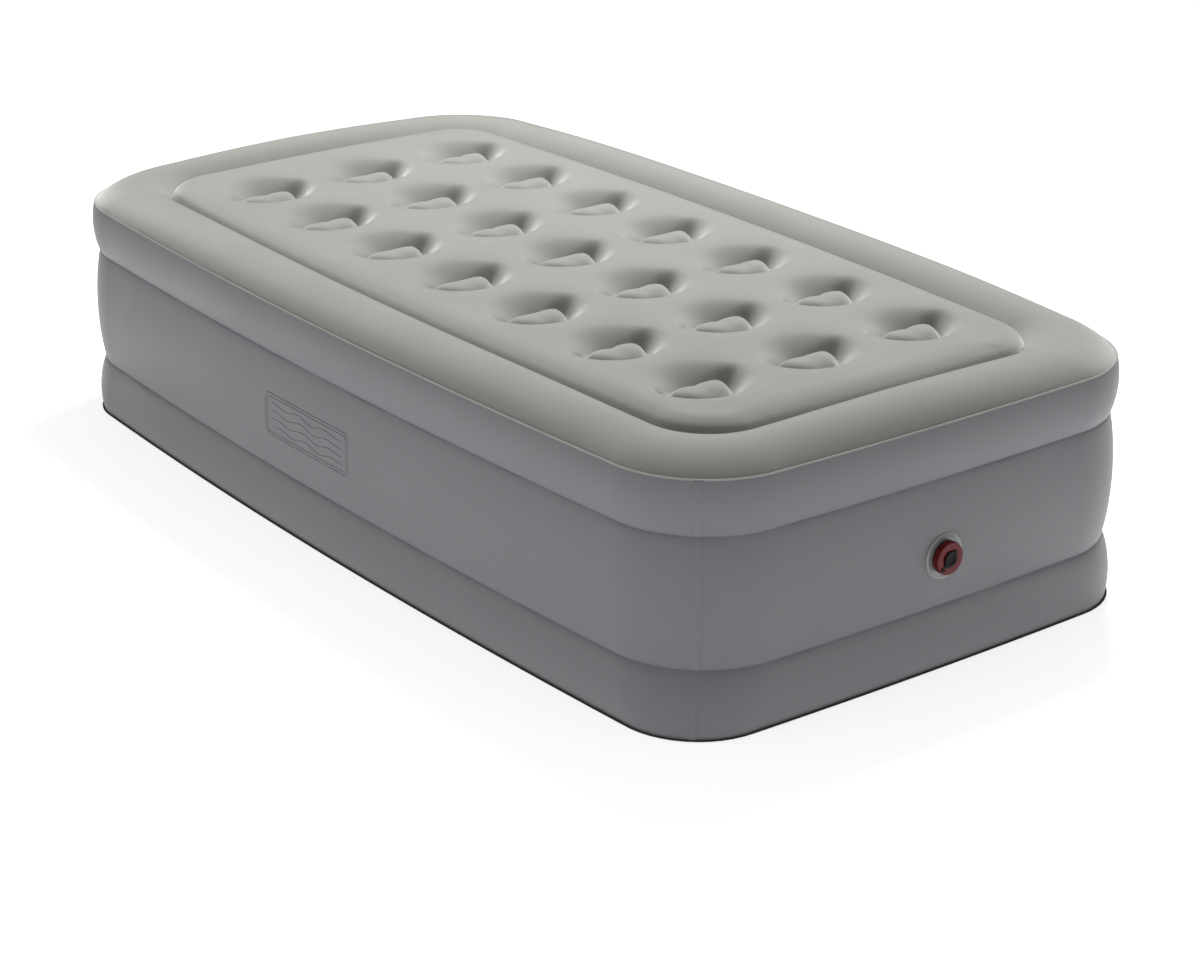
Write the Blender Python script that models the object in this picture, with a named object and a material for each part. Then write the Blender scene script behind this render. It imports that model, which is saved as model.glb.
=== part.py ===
"""A raised single air mattress: three welded sheets, the inner walls and coils that
hold its shape, and the screw-in inflation valve on its foot end.

Metres, +Z up. +X is the foot end, where the valve is, and -Y is the left long side.
The mattress stands on z = 0, and the origin is under the middle of its bounding box.
"""

import math

import bmesh
import bpy
from mathutils import Vector

# Plan of the perimeter seam, where the top sheet meets the side wall
SEAM_LENGTH = 1.956
SEAM_WIDTH = 1.021
SEAM_CORNER = 0.184
SIDE_BOW = 0.0243          # how far a long side bows out at its middle
END_BOW = 0.0052

# Heights of the side wall's three bands, from the floor up
BOTTOM_BAND = 0.114
MIDDLE_BAND = 0.2215
TOP_BAND = 0.0938
CREASE_INSET = 0.006       # the creases between the bands, in from the seam's outline
BAND_BULGE = 0.0125        # how far each band swells past its creases
BAND_SHOULDER = 0.0059     # the same, near a band's upper and lower edges
FOOT_BULGE = 0.003
FLOOR_INSET = 0.008        # the side wall's foot, in from the seam's outline
FLOOR_CORNER = 0.140
BASE_LIP = 0.004           # how far the base sheet reaches past the wall's foot

# Top: a bolster runs round the sleeping surface, with a welded groove between them
GROOVE_INSET = 0.128
GROOVE_RISE = 0.015        # the groove above the seam
GROOVE_CORNER = 0.116
BOLSTER_CROWN = 0.033      # the bolster's top above the line from seam to groove
BOLSTER_CORNER_CROWN = 0.018
SURFACE_RISE = 0.018       # the sleeping surface above the groove
SURFACE_EDGE = 0.050       # the rounded edge between the groove and the flat surface

# Pits, each welded to the top end of a coil
PITS_LONG = 7
PITS_WIDE = 3
PIT_END_MARGIN = 0.139     # from the end of the flat surface to the first pit's centre
PIT_SIDE_MARGIN = 0.104
PIT_LAND = 0.036           # the flat left between two neighbouring pits
PIT_SLOPE = 0.034          # from a pit's rim to its weld ring, in plan
PIT_DEPTH = 0.036
BASE_PIT_DEPTH = 0.012

# Sheet thicknesses, and the gap between touching pieces
TOP_SHEET = 0.0012
WALL_SHEET = 0.0005
BASE_SHEET = 0.0006
BEAM_SHEET = 0.0004
COIL_SHEET = 0.0003
GAP = 0.0004
CREASE_MITRE = 2.2         # a folded sheet's thickness at its crease, in sheet thicknesses
COIL_VENT = 0.016          # height of the notches that let air through a coil's foot
BEAM_VENT = 0.030
TIE_VENT = 0.4             # share of the tie rings' width cut away at the corners

# Valve, on the middle band of the foot end, sized outwards from the bore that takes a nozzle
VALVE_Y = 0.012
VALVE_DROP = 0.019         # below the middle of the middle band
NOZZLE_BORE = 0.0120
NOZZLE_TUBE_WALL = 0.0035
NOZZLE_TUBE_DEPTH = 0.0080
NECK_CLEARANCE = 0.0035    # air path between the nozzle tube and the neck
NECK_WALL = 0.0028
NECK_HEIGHT = 0.0118
NECK_DEPTH = 0.0100
THREAD_PITCH = 0.004
THREAD_DEPTH = 0.0012
THREAD_CLEARANCE = 0.0007
COLLAR_WALL = 0.0043       # outside the thread
COLLAR_FACE = 0.0155       # the collar's front face, out from the wall
COLLAR_FACE_THICKNESS = 0.0025
SEAL_THICKNESS = 0.0010
SEAL_WIDTH = 0.0028
FLANGE_BORDER = 0.0110     # outside the collar
FLANGE_THICKNESS = 0.0017
FLAT_BORDER = 0.0035       # wall held flat outside the flange
CHAMFER = 0.0010
CAP_LAP = 0.0015           # from the bore to the cap's edge
CAP_MARGIN = 0.0010        # from the cap's edge to the rim of the shallow recess that it lies in
CAP_RECESS = 0.0005
CAP_THICKNESS = 0.0022
PLUG_CLEARANCE = 0.0008
PLUG_TAPER = 0.0008
PLUG_DEPTH = 0.0040
CAP_STRAP = 0.0040         # from the cap's edge to its hinge line
CAP_HINGE_ANGLE = 225.0    # the hinge's place round the valve, from +Y towards +Z
TETHER_OFFSET = 0.0017
TETHER_LENGTH = 0.0060
TETHER_THICKNESS = 0.0012
STRAP_WIDTH = 0.0080
FLAP_LAP = 0.0023          # from the bore to the flap's edge
FLAP_STRAP = 0.0012
FLAP_THICKNESS = 0.0009

# Faceting
CORNER_STEPS = 5
SIDE_STEPS = 6
END_STEPS = 4
PIT_SIDES = 10
BASE_PIT_SIDES = 8
VALVE_SIDES = 24

SEAM_HEIGHT = BOTTOM_BAND + MIDDLE_BAND + TOP_BAND
LOWER_CREASE = BOTTOM_BAND
UPPER_CREASE = BOTTOM_BAND + MIDDLE_BAND
GROOVE_HEIGHT = SEAM_HEIGHT + GROOVE_RISE
SURFACE_HEIGHT = GROOVE_HEIGHT + SURFACE_RISE
SURFACE_INSET = GROOVE_INSET + SURFACE_EDGE
SURFACE_CORNER = GROOVE_CORNER - SURFACE_EDGE
PIT_SPAN_LONG = SEAM_LENGTH - 2 * (SURFACE_INSET + PIT_END_MARGIN)
PIT_SPAN_WIDE = SEAM_WIDTH - 2 * (SURFACE_INSET + PIT_SIDE_MARGIN)
PIT_PITCH_LONG = PIT_SPAN_LONG / (PITS_LONG - 1)
PIT_PITCH_WIDE = PIT_SPAN_WIDE / (PITS_WIDE - 1)
PIT_RIM = (min(PIT_PITCH_LONG, PIT_PITCH_WIDE) - PIT_LAND) / 2
PIT_RING = PIT_RIM - PIT_SLOPE
WALL_TO_VALVE = SEAM_LENGTH / 2 + END_BOW + BAND_BULGE - CREASE_INSET
VALVE_HEIGHT = BOTTOM_BAND + MIDDLE_BAND / 2 - VALVE_DROP
NECK_BORE = NOZZLE_BORE + NOZZLE_TUBE_WALL + NECK_CLEARANCE
NECK_CORE = NECK_BORE + NECK_WALL  # radius at the root of the neck's thread
COLLAR_RADIUS = NECK_CORE + THREAD_CLEARANCE + THREAD_DEPTH + COLLAR_WALL
FLANGE_RADIUS = COLLAR_RADIUS + FLANGE_BORDER
VALVE_FLAT = FLANGE_RADIUS + FLAT_BORDER
CAP_RADIUS = NOZZLE_BORE + CAP_LAP
CAP_HINGE_REACH = CAP_RADIUS + CAP_STRAP
FLAP_RADIUS = NOZZLE_BORE + FLAP_LAP
FLAP_HINGE_REACH = FLAP_RADIUS + FLAP_STRAP
CAP_TOP = COLLAR_FACE + GAP + CAP_THICKNESS
BODY_SHIFT = -CAP_TOP / 2  # the valve sticks out at one end, so the body moves the other way


def material(name, colour, roughness, alpha=1.0):
    made = bpy.data.materials.new(name)
    made.use_nodes = True
    shader = made.node_tree.nodes["Principled BSDF"]
    shader.inputs["Base Color"].default_value = (*colour, 1.0)
    shader.inputs["Roughness"].default_value = roughness
    shader.inputs["Alpha"].default_value = alpha
    return made


def place(name, mesh, look, parent):
    piece = bpy.data.objects.new(name, mesh)
    bpy.context.scene.collection.objects.link(piece)
    piece.parent = parent
    if not mesh.materials:
        mesh.materials.append(look)
    return piece


def finish_mesh(name, bm, closed=False):
    if closed:
        bmesh.ops.recalc_face_normals(bm, faces=bm.faces)
    mesh = bpy.data.meshes.new(name)
    bm.to_mesh(mesh)
    bm.free()
    return mesh


def thicken(piece, thickness, offset=-1.0):
    wall = piece.modifiers.new("Sheet", "SOLIDIFY")
    wall.thickness = thickness
    wall.offset = offset
    wall.use_even_offset = True


# The outline's stations run anticlockwise, seen from above:
# each corner's arc is followed by the straight that leads to the next corner.
def stations():
    """For each station: the corner it belongs to, its angle, and how far it lies along the straight."""
    found = []
    for corner in range(4):
        steps = END_STEPS if corner % 2 else SIDE_STEPS
        start = corner * math.pi / 2
        for i in range(CORNER_STEPS + 1):
            found.append((corner, start + math.pi / 2 * i / CORNER_STEPS, 0.0))
        for i in range(1, steps):
            found.append((corner, start + math.pi / 2, i / steps))
    return found


STATIONS = stations()


def corner_centre(corner, inset, radius):
    sign_x = (1, -1, -1, 1)[corner % 4]
    sign_y = (1, 1, -1, -1)[corner % 4]
    along = SEAM_LENGTH / 2 - inset - radius
    across = SEAM_WIDTH / 2 - inset - radius
    return Vector((sign_x * along, sign_y * across, 0))


def outline(inset, radius, grow=0.0, height=0.0):
    """Points of the bowed outline, set in by inset and grown outwards by grow."""
    points = []
    for corner, angle, along in STATIONS:
        outward = Vector((math.cos(angle), math.sin(angle), 0))
        point = corner_centre(corner, inset, radius) + outward * radius
        if along:
            far = corner_centre(corner + 1, inset, radius) + outward * radius
            bow = END_BOW if corner % 2 else SIDE_BOW
            point = point.lerp(far, along) + outward * bow * 4 * along * (1 - along)
        points.append(point + outward * grow + Vector((0, 0, height)))
    return points


def blend_outlines(first, second, share):
    return [a.lerp(b, share) for a, b in zip(first, second)]


def lifted(points, heights):
    return [Vector((p.x, p.y, h)) for p, h in zip(points, heights)]


def circle(centre, radius, sides, height):
    turn = 2 * math.pi / sides
    return [
        Vector((centre[0] + radius * math.cos(turn * i), centre[1] + radius * math.sin(turn * i), height))
        for i in range(sides)
    ]


def loop(bm, points):
    return [bm.verts.new(p) for p in points]


def bridge(bm, outer, inner, skipped=()):
    """Quads from one ring to the next, facing up where inner lies inside outer."""
    count = len(outer)
    for i in range(count):
        if i not in skipped:
            j = (i + 1) % count
            bm.faces.new((outer[i], outer[j], inner[j], inner[i]))


def fill(bm, loops, facing):
    """Triangles between an outer loop and the loops inside it, all facing one way."""
    edges = []
    for ring in loops:
        for a, b in zip(ring, ring[1:] + ring[:1]):
            edges.append(bm.edges.get((a, b)) or bm.edges.new((a, b)))
    made = bmesh.ops.triangle_fill(bm, use_beauty=True, use_dissolve=False, edges=edges, normal=facing)
    for face in made["geom"]:
        if isinstance(face, bmesh.types.BMFace):
            face.normal_update()
            if face.normal.dot(facing) < 0:
                face.normal_flip()


def pit_centres():
    for row in range(PITS_WIDE):
        for column in range(PITS_LONG):
            x = -PIT_SPAN_LONG / 2 + column * PIT_PITCH_LONG
            y = -PIT_SPAN_WIDE / 2 + row * PIT_PITCH_WIDE
            yield row + 1, column + 1, (x, y)


def crown_at(corner_angle, along):
    """The bolster stands lower round a corner than along a side."""
    if along:
        return BOLSTER_CROWN
    return BOLSTER_CORNER_CROWN + (BOLSTER_CROWN - BOLSTER_CORNER_CROWN) * abs(math.cos(2 * corner_angle))


def make_top_sheet():
    bm = bmesh.new()
    seam = outline(0, SEAM_CORNER)
    groove = outline(GROOVE_INSET, GROOVE_CORNER)
    crowns = [crown_at(angle, along) for _, angle, along in STATIONS]
    rings = []
    for share in (0.0, 0.07, 0.25, 0.5, 0.75, 0.93, 1.0):
        chord = SEAM_HEIGHT + GAP + share * GROOVE_RISE
        rise = math.sin(math.pi * share) ** 0.6
        plan = blend_outlines(seam, groove, share)
        rings.append(loop(bm, lifted(plan, [chord + crown * rise for crown in crowns])))
    shoulder = outline(GROOVE_INSET + 0.35 * SURFACE_EDGE, GROOVE_CORNER - 0.35 * SURFACE_EDGE)
    rings.append(loop(bm, lifted(shoulder, [GROOVE_HEIGHT + 0.75 * SURFACE_RISE] * len(shoulder))))
    border = outline(SURFACE_INSET, SURFACE_CORNER)
    rings.append(loop(bm, lifted(border, [SURFACE_HEIGHT] * len(border))))
    for outer, inner in zip(rings, rings[1:]):
        bridge(bm, outer, inner)
    rims = []
    for _, _, centre in pit_centres():
        rim = loop(bm, circle(centre, PIT_RIM, PIT_SIDES, SURFACE_HEIGHT))
        ring = loop(bm, circle(centre, PIT_RING, PIT_SIDES, SURFACE_HEIGHT - PIT_DEPTH))
        bridge(bm, rim, ring)
        bm.faces.new(ring)
        rims.append(rim)
    fill(bm, [rings[-1]] + rims, Vector((0, 0, 1)))
    return finish_mesh("top_sheet", bm)


def band(bottom, top, shares):
    """(height, growth) down one band of the side wall, which swells between its creases."""
    return [
        (bottom + (top - bottom) * s, BAND_BULGE * math.sin(math.pi * s) ** 0.7 - CREASE_INSET)
        for s in shares
    ]


def make_side_wall():
    bm = bmesh.new()
    seam = outline(0, SEAM_CORNER)
    foot = outline(FLOOR_INSET, FLOOR_CORNER, 0, BASE_SHEET + GAP)
    rows = [(BOTTOM_BAND * 0.31, FOOT_BULGE), (BOTTOM_BAND * 0.66, BAND_SHOULDER)]
    rows += band(LOWER_CREASE, UPPER_CREASE, (0, 0.13, 0.5, 0.87, 1))
    rows += [(UPPER_CREASE + TOP_BAND * 0.30, BAND_SHOULDER)]
    rows += [(UPPER_CREASE + TOP_BAND * 0.68, BAND_BULGE - CREASE_INSET), (SEAM_HEIGHT - GAP, 0.0)]
    rings = [loop(bm, foot)]
    for height, growth in rows:
        share = min(height / LOWER_CREASE, 1.0)
        low_plan = outline(FLOOR_INSET, FLOOR_CORNER, growth)
        plan = blend_outlines(low_plan, outline(0, SEAM_CORNER, growth), share)
        rings.append(loop(bm, lifted(plan, [height] * len(seam))))
    window = range(len(STATIONS) - END_STEPS // 2 - 1, len(STATIONS) - END_STEPS // 2 + 1)
    for k, (lower, upper) in enumerate(zip(rings, rings[1:])):
        in_window = k in (4, 5)
        bridge(bm, lower, upper, window if in_window else ())
    first, middle, last = window[0], window[0] + 1, window[-1] + 1
    bm.verts.remove(rings[5][middle])
    edge = [rings[4][first], rings[4][middle], rings[4][last], rings[5][last]]
    edge += [rings[6][last], rings[6][middle], rings[6][first], rings[5][first]]
    flat, hole = valve_circle(VALVE_FLAT), valve_circle(NECK_CORE + THREAD_DEPTH + 2 * GAP)
    flat, hole = loop(bm, flat), loop(bm, hole)
    fill(bm, [edge, flat], Vector((1, 0, 0)))
    fill(bm, [flat, hole], Vector((1, 0, 0)))
    return finish_mesh("side_wall", bm)


def valve_circle(radius):
    turn = 2 * math.pi / VALVE_SIDES
    centre = Vector((WALL_TO_VALVE, VALVE_Y, VALVE_HEIGHT))
    return [
        centre + radius * Vector((0, math.cos(turn * i), math.sin(turn * i)))
        for i in range(VALVE_SIDES)
    ]


def make_bottom_sheet():
    bm = bmesh.new()
    rim_loop = loop(bm, outline(FLOOR_INSET, FLOOR_CORNER, BASE_LIP))
    rims = []
    for _, _, centre in pit_centres():
        rim = loop(bm, circle(centre, PIT_RIM, BASE_PIT_SIDES, 0))
        ring = loop(bm, circle(centre, PIT_RING + GAP, BASE_PIT_SIDES, BASE_PIT_DEPTH))
        bridge(bm, rim[::-1], ring[::-1])
        bm.faces.new(ring[::-1])
        rims.append(rim)
    fill(bm, [rim_loop] + rims, Vector((0, 0, -1)))
    return finish_mesh("bottom_sheet", bm)


def make_edge_beam():
    """The upright wall under the groove, notched at its foot in the corners for air to pass."""
    bm = bmesh.new()
    floor = BASE_SHEET + GAP
    top = GROOVE_HEIGHT - CREASE_MITRE * TOP_SHEET - GAP
    feet = []
    for i in range(len(STATIONS)):
        _, _, along = STATIONS[i]
        mid_corner = not along and i % 2 and STATIONS[i - 1][2] == 0
        feet.append(floor + BEAM_VENT if mid_corner else floor)
    plan = outline(GROOVE_INSET, GROOVE_CORNER)
    lower = loop(bm, lifted(plan, feet))
    upper = loop(bm, lifted(plan, [top] * len(plan)))
    bridge(bm, lower, upper)
    return finish_mesh("edge_beam", bm)


def make_tie_ring(name, height):
    """The level web from a crease of the side wall to the edge beam, set back in the corners for air."""
    bm = bmesh.new()
    outer = outline(0, SEAM_CORNER, -CREASE_INSET - CREASE_MITRE * WALL_SHEET - GAP, height)
    beam_face = outline(GROOVE_INSET, GROOVE_CORNER, BEAM_SHEET / 2 + GAP, height)
    inner = []
    for (_, angle, along), near, far in zip(STATIONS, beam_face, outer):
        vent = 0.0 if along else TIE_VENT * (1 - abs(math.cos(2 * angle)))
        inner.append(near.lerp(far, vent))
    bridge(bm, loop(bm, outer), loop(bm, inner))
    return finish_mesh(name, bm)


def make_coil():
    """An open tube between the pits of the top and bottom sheets, notched at its foot."""
    bm = bmesh.new()
    foot = BASE_PIT_DEPTH + BASE_SHEET + GAP
    head = SURFACE_HEIGHT - PIT_DEPTH - TOP_SHEET - GAP
    lower = circle((0, 0), PIT_RING - GAP, PIT_SIDES, foot)
    for i in (0, PIT_SIDES // 2):
        lower[i].z += COIL_VENT
    bridge(bm, loop(bm, lower), loop(bm, circle((0, 0), PIT_RING - GAP, PIT_SIDES, head)))
    return finish_mesh("coil", bm)


# The valve's pieces are drawn round its own axis: x out of the wall, y and z across it.
def turned(name, profile):
    """A closed solid turned about x. A profile point is (x, radius), where radius may follow the angle."""
    bm = bmesh.new()
    rings = []
    for x, radius in profile:
        ring = []
        for i in range(VALVE_SIDES):
            angle = 2 * math.pi * i / VALVE_SIDES
            r = radius(x, angle) if callable(radius) else radius
            ring.append(bm.verts.new((x, r * math.cos(angle), r * math.sin(angle))))
        rings.append(ring)
    for first, second in zip(rings, rings[1:] + rings[:1]):
        bridge(bm, first, second)
    return finish_mesh(name, bm, closed=True)


def thread(core):
    """The radius of a right-hand thread about x, over its root radius core."""
    def radius(x, angle):
        phase = x / THREAD_PITCH - angle / (2 * math.pi)
        return core + THREAD_DEPTH * (0.5 + 0.5 * math.cos(2 * math.pi * phase))
    return radius


def thread_rows(start, end, core):
    steps = max(2, round((end - start) / (THREAD_PITCH / 4)))
    return [(start + (end - start) * i / steps, thread(core)) for i in range(steps + 1)]


FLANGE_FRONT = GAP + FLANGE_THICKNESS
SKIRT_START = FLANGE_FRONT + SEAL_THICKNESS + 2 * GAP
CEILING = COLLAR_FACE - COLLAR_FACE_THICKNESS


def make_flange():
    outside = [(GAP, FLANGE_RADIUS), (GAP + 0.5 * FLANGE_THICKNESS, FLANGE_RADIUS)]
    outside += [(FLANGE_FRONT, FLANGE_RADIUS - 2 * FLANGE_THICKNESS), (FLANGE_FRONT, NECK_CORE)]
    neck = thread_rows(SKIRT_START, NECK_HEIGHT - CHAMFER, NECK_CORE)
    inside = [(NECK_HEIGHT, NECK_CORE), (NECK_HEIGHT, NECK_BORE), (-NECK_DEPTH, NECK_BORE)]
    inside += [(-NECK_DEPTH, NECK_CORE), (GAP, NECK_CORE)]
    return turned("valve_flange", outside + neck + inside)


def make_collar():
    thread_core = NECK_CORE + THREAD_CLEARANCE
    outside = [(SKIRT_START, COLLAR_RADIUS - 0.5 * CHAMFER), (COLLAR_FACE - CHAMFER, COLLAR_RADIUS)]
    outside += [(COLLAR_FACE, COLLAR_RADIUS - CHAMFER), (COLLAR_FACE, CAP_RADIUS + CAP_MARGIN)]
    seat = COLLAR_FACE - CAP_RECESS
    outside += [(seat, CAP_RADIUS + CAP_MARGIN), (seat, NOZZLE_BORE + 0.5 * CHAMFER)]
    bore = [(seat - 0.5 * CHAMFER, NOZZLE_BORE), (-NOZZLE_TUBE_DEPTH, NOZZLE_BORE)]
    tube = NOZZLE_BORE + NOZZLE_TUBE_WALL
    bore += [(-NOZZLE_TUBE_DEPTH, tube), (CEILING, tube), (CEILING, thread_core)]
    rows = thread_rows(SKIRT_START + 0.5 * CHAMFER, CEILING - 0.5 * CHAMFER, thread_core)
    mouth = [(SKIRT_START, thread_core + THREAD_DEPTH + 0.5 * CHAMFER)]
    return turned("valve_collar", outside + bore + rows[::-1] + mouth)


def make_seal():
    inner = NECK_CORE + THREAD_DEPTH + 3 * GAP
    back, front = FLANGE_FRONT + GAP, FLANGE_FRONT + GAP + SEAL_THICKNESS
    outer = inner + SEAL_WIDTH
    return turned("valve_seal", [(back, inner), (front, inner), (front, outer), (back, outer)])


def extruded(name, points, back, front):
    bm = bmesh.new()
    lower = [bm.verts.new((back, y, z)) for y, z in points]
    upper = [bm.verts.new((front, y, z)) for y, z in points]
    bridge(bm, lower, upper)
    bm.faces.new(lower)
    bm.faces.new(upper)
    return finish_mesh(name, bm, closed=True)


def tabbed_disc(radius, reach, heading):
    """The outline of a disc with a strap that runs out to reach, in the direction heading."""
    half = STRAP_WIDTH / 2
    root = math.asin(half / radius)
    points = [(reach, -half), (reach, half)]
    for i in range(VALVE_SIDES):
        angle = root + (2 * math.pi - 2 * root) * i / (VALVE_SIDES - 1)
        points.append((radius * math.cos(angle), radius * math.sin(angle)))
    return turned_points(points, heading)


def turned_points(points, heading):
    c, s = math.cos(math.radians(heading)), math.sin(math.radians(heading))
    return [(a * c - b * s, a * s + b * c) for a, b in points]


def make_cap(look, parent):
    """The cap with its strap, and the tapered plug that closes the nozzle's bore."""
    back = COLLAR_FACE + GAP
    shape = tabbed_disc(CAP_RADIUS, CAP_HINGE_REACH - GAP, CAP_HINGE_ANGLE)
    head = extruded("valve_cap", shape, back, CAP_TOP)
    cap = place("valve_cap", head, look, parent)
    bm = bmesh.new()
    radius = NOZZLE_BORE - PLUG_CLEARANCE
    top = back + CAP_THICKNESS / 2
    circles = []
    for x, r in ((back - PLUG_DEPTH, radius - PLUG_TAPER), (top, radius)):
        circles.append([bm.verts.new((x, p.x, p.y)) for p in circle((0, 0), r, VALVE_SIDES, 0)])
    bridge(bm, circles[0], circles[1])
    for ring in circles:
        bm.faces.new(ring)
    plug = place("plug_shape", finish_mesh("plug_shape", bm, closed=True), look, parent)
    plug.hide_render = True
    plug.display_type = "WIRE"
    join = cap.modifiers.new("Plug", "BOOLEAN")
    join.operation = "UNION"
    join.object = plug
    return cap


def make_tether():
    """The strap's other end, welded to the collar's face beyond the hinge line."""
    near = CAP_HINGE_REACH + TETHER_OFFSET
    half = STRAP_WIDTH / 2
    points = [(near, half), (near, -half)]
    for i in range(7):
        angle = math.pi * (i / 6 - 0.5)
        points.append((near + TETHER_LENGTH - half + half * math.cos(angle), half * math.sin(angle)))
    back = COLLAR_FACE + GAP
    return extruded("cap_tether", turned_points(points, CAP_HINGE_ANGLE), back, back + TETHER_THICKNESS)


def make_flap():
    """The one-way flap that closes the nozzle tube from inside, hung from its upper edge."""
    front = -NOZZLE_TUBE_DEPTH - GAP
    shape = tabbed_disc(FLAP_RADIUS, FLAP_HINGE_REACH, 90.0)
    return extruded("check_flap", shape, front - FLAP_THICKNESS, front)


def main():
    for old in list(bpy.data.objects):
        bpy.data.objects.remove(old)
    flock = material("flocked_top", (0.36, 0.35, 0.31), 0.95)
    vinyl = material("grey_vinyl", (0.17, 0.17, 0.18), 0.55)
    base = material("dark_base", (0.03, 0.03, 0.032), 0.6)
    inner = material("inner_vinyl", (0.45, 0.46, 0.48), 0.5)
    clear = material("clear_vinyl", (0.75, 0.76, 0.75), 0.25, 0.6)
    red = material("red_plastic", (0.45, 0.01, 0.015), 0.35)
    black = material("black_plastic", (0.015, 0.015, 0.015), 0.45)
    rubber = material("seal_rubber", (0.03, 0.03, 0.03), 0.7)

    body = bpy.data.objects.new("mattress_frame", None)
    bpy.context.scene.collection.objects.link(body)
    body.location.x = BODY_SHIFT
    valve = bpy.data.objects.new("valve_axis", None)
    bpy.context.scene.collection.objects.link(valve)
    valve.parent = body
    valve.location = (WALL_TO_VALVE, VALVE_Y, VALVE_HEIGHT)

    thicken(place("top_sheet", make_top_sheet(), flock, body), TOP_SHEET)
    thicken(place("side_wall", make_side_wall(), vinyl, body), WALL_SHEET)
    thicken(place("bottom_sheet", make_bottom_sheet(), base, body), BASE_SHEET)
    thicken(place("edge_beam", make_edge_beam(), inner, body), BEAM_SHEET, offset=0.0)
    for name, height in (("lower_tie_ring", LOWER_CREASE), ("upper_tie_ring", UPPER_CREASE)):
        thicken(place(name, make_tie_ring(name, height), inner, body), BEAM_SHEET, offset=0.0)
    coil = make_coil()
    for row, column, centre in pit_centres():
        piece = place(f"coil_{row}_{column}", coil, inner, body)
        piece.location = (*centre, 0)
        thicken(piece, COIL_SHEET)

    place("valve_flange", make_flange(), clear, valve)
    place("valve_seal", make_seal(), rubber, valve)
    place("valve_collar", make_collar(), red, valve)
    place("cap_tether", make_tether(), black, valve)
    make_cap(black, valve)
    place("check_flap", make_flap(), rubber, valve)


main()
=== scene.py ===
# Raised single air mattress: looks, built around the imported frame
import math

import bmesh
import bpy
import numpy as np
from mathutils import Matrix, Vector, noise


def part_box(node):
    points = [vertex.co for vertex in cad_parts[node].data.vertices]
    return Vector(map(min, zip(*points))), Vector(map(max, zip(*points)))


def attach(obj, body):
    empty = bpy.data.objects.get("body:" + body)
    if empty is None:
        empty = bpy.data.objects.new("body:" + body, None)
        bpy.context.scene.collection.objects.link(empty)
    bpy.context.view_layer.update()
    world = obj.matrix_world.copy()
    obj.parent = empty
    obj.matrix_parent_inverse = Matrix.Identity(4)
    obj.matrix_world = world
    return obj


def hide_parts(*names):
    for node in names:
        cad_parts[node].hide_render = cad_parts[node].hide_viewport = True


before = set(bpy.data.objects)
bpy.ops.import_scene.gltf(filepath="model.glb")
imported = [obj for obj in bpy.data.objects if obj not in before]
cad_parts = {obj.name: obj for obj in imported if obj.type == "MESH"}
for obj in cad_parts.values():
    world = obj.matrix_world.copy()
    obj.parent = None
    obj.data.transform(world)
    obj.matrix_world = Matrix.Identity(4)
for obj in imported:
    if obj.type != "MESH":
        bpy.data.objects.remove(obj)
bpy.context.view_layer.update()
print("frame loaded")

# What the frame says about the mattress
topLow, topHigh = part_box("top_sheet")
wallLow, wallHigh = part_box("side_wall")
beamLow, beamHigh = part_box("edge_beam")
flangeLow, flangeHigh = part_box("valve_flange")
centreX = (wallLow.x + wallHigh.x) / 2
lowerCrease = sum(corner.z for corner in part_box("lower_tie_ring")) / 2
upperCrease = sum(corner.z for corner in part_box("upper_tie_ring")) / 2
sheetGap = 0.0004
seamHeight = wallHigh.z + sheetGap

plan = {
    "corner": 0.184,        # radius of the seam's corners
    "sideBow": 0.0243,
    "endBow": 0.0052,
    "grooveCorner": 0.116,
    "footCorner": 0.140,
    "footInset": 0.008,
}
halfLength = (topHigh.x - topLow.x) / 2 - plan["endBow"]
halfWidth = (topHigh.y - topLow.y) / 2 - plan["sideBow"]
grooveInset = halfLength + plan["endBow"] - (beamHigh.x - beamLow.x) / 2


# Stations round the outline, anticlockwise from the foot end's right corner
def makeStations(arcSteps, sideSteps, endSteps):
    corners, angles, alongs = [], [], []
    for corner in range(4):
        straight = endSteps if corner % 2 else sideSteps
        start = corner * math.pi / 2
        for i in range(arcSteps + 1):
            corners.append(corner)
            angles.append(start + math.pi / 2 * i / arcSteps)
            alongs.append(0.0)
        for i in range(1, straight):
            corners.append(corner)
            angles.append(start + math.pi / 2)
            alongs.append(i / straight)
    return np.array(corners), np.array(angles), np.array(alongs)


def outlinePoints(stations, inset, radius, grow=0.0):
    corner, angle, along = stations
    signX = np.array([1, -1, -1, 1])
    signY = np.array([1, 1, -1, -1])
    outward = np.stack([np.cos(angle), np.sin(angle)], 1)

    def centreOf(k):
        k = k % 4
        return np.stack([signX[k] * (halfLength - inset - radius), signY[k] * (halfWidth - inset - radius)], 1)

    near = centreOf(corner) + outward * radius
    far = centreOf(corner + 1) + outward * radius
    share = along[:, None]
    bow = np.where(corner % 2 == 1, plan["endBow"], plan["sideBow"])[:, None]
    points = near * (1 - share) + far * share + outward * bow * 4 * share * (1 - share)
    points = points + outward * (np.asarray(grow).reshape(-1, 1) if np.ndim(grow) else grow)
    return points + np.array([centreX, 0.0]), outward


def meshFrom(name, points, faces, smooth=True):
    mesh = bpy.data.meshes.new(name)
    mesh.from_pydata([tuple(p) for p in points], [], [tuple(f) for f in faces])
    mesh.update()
    if smooth:
        mesh.shade_smooth()
    piece = bpy.data.objects.new(name, mesh)
    bpy.context.scene.collection.objects.link(piece)
    return piece


def ringFaces(count, lower, upper):
    faces = []
    for i in range(count):
        j = (i + 1) % count
        faces.append((lower + i, lower + j, upper + j, upper + i))
    return faces


def evaluatedMesh(piece, name):
    graph = bpy.context.evaluated_depsgraph_get()
    graph.update()
    mesh = bpy.data.meshes.new_from_object(piece.evaluated_get(graph), depsgraph=graph)
    mesh.name = name
    return mesh


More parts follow.
